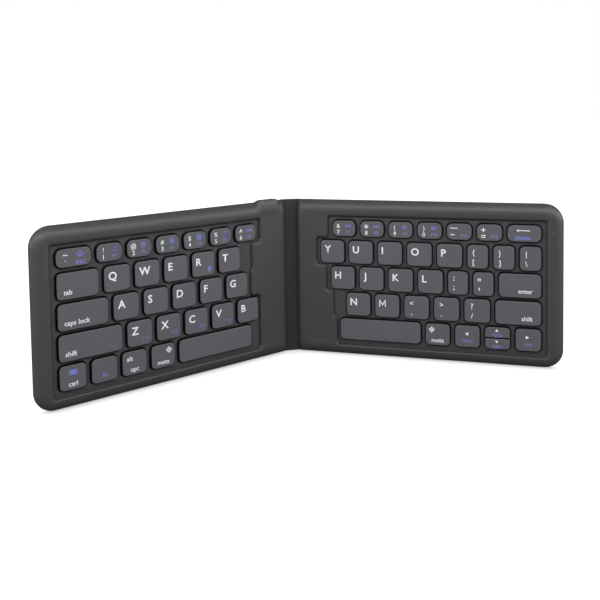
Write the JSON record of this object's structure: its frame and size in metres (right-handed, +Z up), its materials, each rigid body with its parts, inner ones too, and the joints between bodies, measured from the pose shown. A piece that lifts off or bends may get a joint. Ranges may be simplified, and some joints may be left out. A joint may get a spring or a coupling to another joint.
{
  "type": "folding keyboard",
  "caption": "Folding pocket keyboard in two halves on a flexible spine, standing open on its front edges.",
  "frame": {"origin": "under the middle of the open keyboard, on the surface it stands on", "axes": "+Z up, from the space-bar edge to the digit-row edge; +X along the open keyboard to the right half; the keys face -Y"},
  "size_m": [0.273, 0.0696, 0.0901],
  "materials": {
    "soft_touch_case": "soft-touch matte dark grey coating",
    "deck_plastic": "fine matte",
    "key_caps": "matte, slightly satin",
    "spine_elastomer": "matte elastomer",
    "flex_film": "polyimide film",
    "link_plastic": "moulded",
    "dome_rubber": "translucent silicone",
    "steel_plate": "stamped",
    "magnet": "nickel plated",
    "screw_steel": "zinc plated",
    "board": "solder mask",
    "socket_shell": "tin plated",
    "battery_pouch": "laminated foil",
    "light_pipe": "clear light pipe"
  },
  "bodies": {
    "spine": {"spine_band": "spine_elastomer", "spine_flex_cable": "flex_film"},
    "left_half": {"left_front_frame": "soft_touch_case", "left_key_deck": "deck_plastic", "left_scissor_links": "link_plastic", "left_dome_sheet": "dome_rubber", "left_support_plate": "steel_plate", "left_back_cover": "soft_touch_case", "left_magnets": "magnet", "left_screws": "screw_steel", "main_board": "board", "charging_socket": "socket_shell"},
    "right_half": {"right_front_frame": "soft_touch_case", "right_key_deck": "deck_plastic", "right_scissor_links": "link_plastic", "right_dome_sheet": "dome_rubber", "right_support_plate": "steel_plate", "right_back_cover": "soft_touch_case", "right_magnets": "magnet", "right_screws": "screw_steel", "battery_cell": "battery_pouch", "status_led": "light_pipe"},
    "keys_6_t": {"keys_6_t": "key_caps"},
    "keys_5_4": {"keys_5_4": "key_caps"},
    "keys_3_2": {"keys_3_2": "key_caps"},
    "keys_1_tilde": {"keys_1_tilde": "key_caps"},
    "keys_r_e": {"keys_r_e": "key_caps"},
    "keys_w_q": {"keys_w_q": "key_caps"},
    "key_tab": {"key_tab": "key_caps"},
    "keys_g_b": {"keys_g_b": "key_caps"},
    "keys_f_d": {"keys_f_d": "key_caps"},
    "keys_s_a": {"keys_s_a": "key_caps"},
    "key_caps_lock": {"key_caps_lock": "key_caps"},
    "keys_v_c": {"keys_v_c": "key_caps"},
    "keys_x_z": {"keys_x_z": "key_caps"},
    "key_shift_left": {"key_shift_left": "key_caps"},
    "key_space_left": {"key_space_left": "key_caps"},
    "keys_meta_alt": {"keys_meta_alt": "key_caps"},
    "keys_fn_ctrl": {"keys_fn_ctrl": "key_caps"},
    "keys_7_8": {"keys_7_8": "key_caps"},
    "keys_9_0": {"keys_9_0": "key_caps"},
    "keys_minus_equals": {"keys_minus_equals": "key_caps"},
    "key_delete": {"key_delete": "key_caps"},
    "keys_y_u": {"keys_y_u": "key_caps"},
    "keys_i_o": {"keys_i_o": "key_caps"},
    "keys_p_bracket": {"keys_p_bracket": "key_caps"},
    "keys_bracket_slash": {"keys_bracket_slash": "key_caps"},
    "keys_h_j": {"keys_h_j": "key_caps"},
    "keys_k_l": {"keys_k_l": "key_caps"},
    "keys_colon_quote": {"keys_colon_quote": "key_caps"},
    "key_enter": {"key_enter": "key_caps"},
    "keys_n_m": {"keys_n_m": "key_caps"},
    "keys_comma_dot": {"keys_comma_dot": "key_caps"},
    "key_question": {"key_question": "key_caps"},
    "key_shift_right": {"key_shift_right": "key_caps"},
    "key_space_right": {"key_space_right": "key_caps"},
    "keys_meta_back": {"keys_meta_back": "key_caps"},
    "key_up": {"key_up": "key_caps"},
    "key_down": {"key_down": "key_caps"},
    "key_forward": {"key_forward": "key_caps"}
  },
  "joints": [
    {"name": "left_fold", "type": "hinge", "parent": "spine", "child": "left_half", "pos_m": [-0.005, 0.03397, 0.04448], "axis": [0, 0, -1], "range_deg": [-63.5, 26.5]},
    {"name": "right_fold", "type": "hinge", "parent": "spine", "child": "right_half", "pos_m": [0.005, 0.03397, 0.04448], "axis": [0, 0, 1], "range_deg": [-63.5, 26.5]},
    {"name": "keys_6_t_press", "type": "slide", "parent": "left_half", "child": "keys_6_t", "axis": [-0.4462, 0.8949, 0], "range_m": [0, 0.0012], "stiffness_N_per_m": 400},
    {"name": "keys_5_4_press", "type": "slide", "parent": "left_half", "child": "keys_5_4", "axis": [-0.4462, 0.8949, 0], "range_m": [0, 0.0012], "stiffness_N_per_m": 400},
    {"name": "keys_3_2_press", "type": "slide", "parent": "left_half", "child": "keys_3_2", "axis": [-0.4462, 0.8949, 0], "range_m": [0, 0.0012], "stiffness_N_per_m": 400},
    {"name": "keys_1_tilde_press", "type": "slide", "parent": "left_half", "child": "keys_1_tilde", "axis": [-0.4462, 0.8949, 0], "range_m": [0, 0.0012], "stiffness_N_per_m": 400},
    {"name": "keys_r_e_press", "type": "slide", "parent": "left_half", "child": "keys_r_e", "axis": [-0.4462, 0.8949, 0], "range_m": [0, 0.0012], "stiffness_N_per_m": 400},
    {"name": "keys_w_q_press", "type": "slide", "parent": "left_half", "child": "keys_w_q", "axis": [-0.4462, 0.8949, 0], "range_m": [0, 0.0012], "stiffness_N_per_m": 400},
    {"name": "key_tab_press", "type": "slide", "parent": "left_half", "child": "key_tab", "axis": [-0.4462, 0.8949, 0], "range_m": [0, 0.0012], "stiffness_N_per_m": 400},
    {"name": "keys_g_b_press", "type": "slide", "parent": "left_half", "child": "keys_g_b", "axis": [-0.4462, 0.8949, 0], "range_m": [0, 0.0012], "stiffness_N_per_m": 400},
    {"name": "keys_f_d_press", "type": "slide", "parent": "left_half", "child": "keys_f_d", "axis": [-0.4462, 0.8949, 0], "range_m": [0, 0.0012], "stiffness_N_per_m": 400},
    {"name": "keys_s_a_press", "type": "slide", "parent": "left_half", "child": "keys_s_a", "axis": [-0.4462, 0.8949, 0], "range_m": [0, 0.0012], "stiffness_N_per_m": 400},
    {"name": "key_caps_lock_press", "type": "slide", "parent": "left_half", "child": "key_caps_lock", "axis": [-0.4462, 0.8949, 0], "range_m": [0, 0.0012], "stiffness_N_per_m": 400},
    {"name": "keys_v_c_press", "type": "slide", "parent": "left_half", "child": "keys_v_c", "axis": [-0.4462, 0.8949, 0], "range_m": [0, 0.0012], "stiffness_N_per_m": 400},
    {"name": "keys_x_z_press", "type": "slide", "parent": "left_half", "child": "keys_x_z", "axis": [-0.4462, 0.8949, 0], "range_m": [0, 0.0012], "stiffness_N_per_m": 400},
    {"name": "key_shift_left_press", "type": "slide", "parent": "left_half", "child": "key_shift_left", "axis": [-0.4462, 0.8949, 0], "range_m": [0, 0.0012], "stiffness_N_per_m": 400},
    {"name": "key_space_left_press", "type": "slide", "parent": "left_half", "child": "key_space_left", "axis": [-0.4462, 0.8949, 0], "range_m": [0, 0.0012], "stiffness_N_per_m": 400},
    {"name": "keys_meta_alt_press", "type": "slide", "parent": "left_half", "child": "keys_meta_alt", "axis": [-0.4462, 0.8949, 0], "range_m": [0, 0.0012], "stiffness_N_per_m": 400},
    {"name": "keys_fn_ctrl_press", "type": "slide", "parent": "left_half", "child": "keys_fn_ctrl", "axis": [-0.4462, 0.8949, 0], "range_m": [0, 0.0012], "stiffness_N_per_m": 400},
    {"name": "keys_7_8_press", "type": "slide", "parent": "right_half", "child": "keys_7_8", "axis": [0.4462, 0.8949, 0], "range_m": [0, 0.0012], "stiffness_N_per_m": 400},
    {"name": "keys_9_0_press", "type": "slide", "parent": "right_half", "child": "keys_9_0", "axis": [0.4462, 0.8949, 0], "range_m": [0, 0.0012], "stiffness_N_per_m": 400},
    {"name": "keys_minus_equals_press", "type": "slide", "parent": "right_half", "child": "keys_minus_equals", "axis": [0.4462, 0.8949, 0], "range_m": [0, 0.0012], "stiffness_N_per_m": 400},
    {"name": "key_delete_press", "type": "slide", "parent": "right_half", "child": "key_delete", "axis": [0.4462, 0.8949, 0], "range_m": [0, 0.0012], "stiffness_N_per_m": 400},
    {"name": "keys_y_u_press", "type": "slide", "parent": "right_half", "child": "keys_y_u", "axis": [0.4462, 0.8949, 0], "range_m": [0, 0.0012], "stiffness_N_per_m": 400},
    {"name": "keys_i_o_press", "type": "slide", "parent": "right_half", "child": "keys_i_o", "axis": [0.4462, 0.8949, 0], "range_m": [0, 0.0012], "stiffness_N_per_m": 400},
    {"name": "keys_p_bracket_press", "type": "slide", "parent": "right_half", "child": "keys_p_bracket", "axis": [0.4462, 0.8949, 0], "range_m": [0, 0.0012], "stiffness_N_per_m": 400},
    {"name": "keys_bracket_slash_press", "type": "slide", "parent": "right_half", "child": "keys_bracket_slash", "axis": [0.4462, 0.8949, 0], "range_m": [0, 0.0012], "stiffness_N_per_m": 400},
    {"name": "keys_h_j_press", "type": "slide", "parent": "right_half", "child": "keys_h_j", "axis": [0.4462, 0.8949, 0], "range_m": [0, 0.0012], "stiffness_N_per_m": 400},
    {"name": "keys_k_l_press", "type": "slide", "parent": "right_half", "child": "keys_k_l", "axis": [0.4462, 0.8949, 0], "range_m": [0, 0.0012], "stiffness_N_per_m": 400},
    {"name": "keys_colon_quote_press", "type": "slide", "parent": "right_half", "child": "keys_colon_quote", "axis": [0.4462, 0.8949, 0], "range_m": [0, 0.0012], "stiffness_N_per_m": 400},
    {"name": "key_enter_press", "type": "slide", "parent": "right_half", "child": "key_enter", "axis": [0.4462, 0.8949, 0], "range_m": [0, 0.0012], "stiffness_N_per_m": 400},
    {"name": "keys_n_m_press", "type": "slide", "parent": "right_half", "child": "keys_n_m", "axis": [0.4462, 0.8949, 0], "range_m": [0, 0.0012], "stiffness_N_per_m": 400},
    {"name": "keys_comma_dot_press", "type": "slide", "parent": "right_half", "child": "keys_comma_dot", "axis": [0.4462, 0.8949, 0], "range_m": [0, 0.0012], "stiffness_N_per_m": 400},
    {"name": "key_question_press", "type": "slide", "parent": "right_half", "child": "key_question", "axis": [0.4462, 0.8949, 0], "range_m": [0, 0.0012], "stiffness_N_per_m": 400},
    {"name": "key_shift_right_press", "type": "slide", "parent": "right_half", "child": "key_shift_right", "axis": [0.4462, 0.8949, 0], "range_m": [0, 0.0012], "stiffness_N_per_m": 400},
    {"name": "key_space_right_press", "type": "slide", "parent": "right_half", "child": "key_space_right", "axis": [0.4462, 0.8949, 0], "range_m": [0, 0.0012], "stiffness_N_per_m": 400},
    {"name": "keys_meta_back_press", "type": "slide", "parent": "right_half", "child": "keys_meta_back", "axis": [0.4462, 0.8949, 0], "range_m": [0, 0.0012], "stiffness_N_per_m": 400},
    {"name": "key_up_press", "type": "slide", "parent": "right_half", "child": "key_up", "axis": [0.4462, 0.8949, 0], "range_m": [0, 0.0012], "stiffness_N_per_m": 400},
    {"name": "key_down_press", "type": "slide", "parent": "right_half", "child": "key_down", "axis": [0.4462, 0.8949, 0], "range_m": [0, 0.0012], "stiffness_N_per_m": 400},
    {"name": "key_forward_press", "type": "slide", "parent": "right_half", "child": "key_forward", "axis": [0.4462, 0.8949, 0], "range_m": [0, 0.0012], "stiffness_N_per_m": 400}
  ]
}
